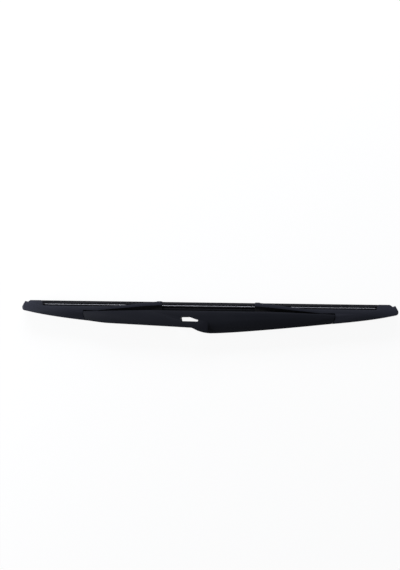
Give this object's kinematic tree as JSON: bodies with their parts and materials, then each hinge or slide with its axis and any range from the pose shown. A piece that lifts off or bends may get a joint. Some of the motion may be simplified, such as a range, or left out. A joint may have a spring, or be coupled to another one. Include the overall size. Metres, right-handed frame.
{
  "type": "rear wiper blade",
  "caption": "Conventional rear wiper blade: a moulded bridge with a pivoted yoke at each end, whose claws hold a rubber wiping strip backed by spring steel.",
  "frame": {"origin": "middle of the underside of the box round the blade, which lies on its side", "axes": "+X along the blade to its right end, +Y towards the wiping edge, +Z across the blade and up as it lies on its side"},
  "size_m": [0.366, 0.0304, 0.014],
  "materials": {
    "bridge_plastic": "black moulded plastic with a faint satin sheen",
    "yoke_plastic": "black moulded plastic, a little greyer and duller than the bridge",
    "pin_steel": "plain drawn steel",
    "wiper_rubber": "black extruded rubber with a dusted surface",
    "strip_steel": "bare spring steel strip with rolled faces"
  },
  "bodies": {
    "bridge": {"bridge": "bridge_plastic", "wiper_rubber": "wiper_rubber", "flexor_near": "strip_steel", "flexor_far": "strip_steel"},
    "yoke_left": {"yoke_left": "yoke_plastic", "pivot_pin_left": "pin_steel"},
    "yoke_right": {"yoke_right": "yoke_plastic", "pivot_pin_right": "pin_steel"}
  },
  "joints": [
    {"name": "yoke_left_pivot", "type": "hinge", "parent": "bridge", "child": "yoke_left", "pos_m": [-0.11, 0.0033, 0.007], "axis": [0, 0, -1], "range_deg": [-3, 4], "stiffness_Nm_per_rad": 0.2, "deforming": ["wiper_rubber", "flexor_near", "flexor_far"]},
    {"name": "yoke_right_pivot", "type": "hinge", "parent": "bridge", "child": "yoke_right", "pos_m": [0.11, 0.0033, 0.007], "axis": [0, 0, 1], "range_deg": [-3, 4], "stiffness_Nm_per_rad": 0.2, "deforming": ["wiper_rubber", "flexor_near", "flexor_far"]}
  ]
}
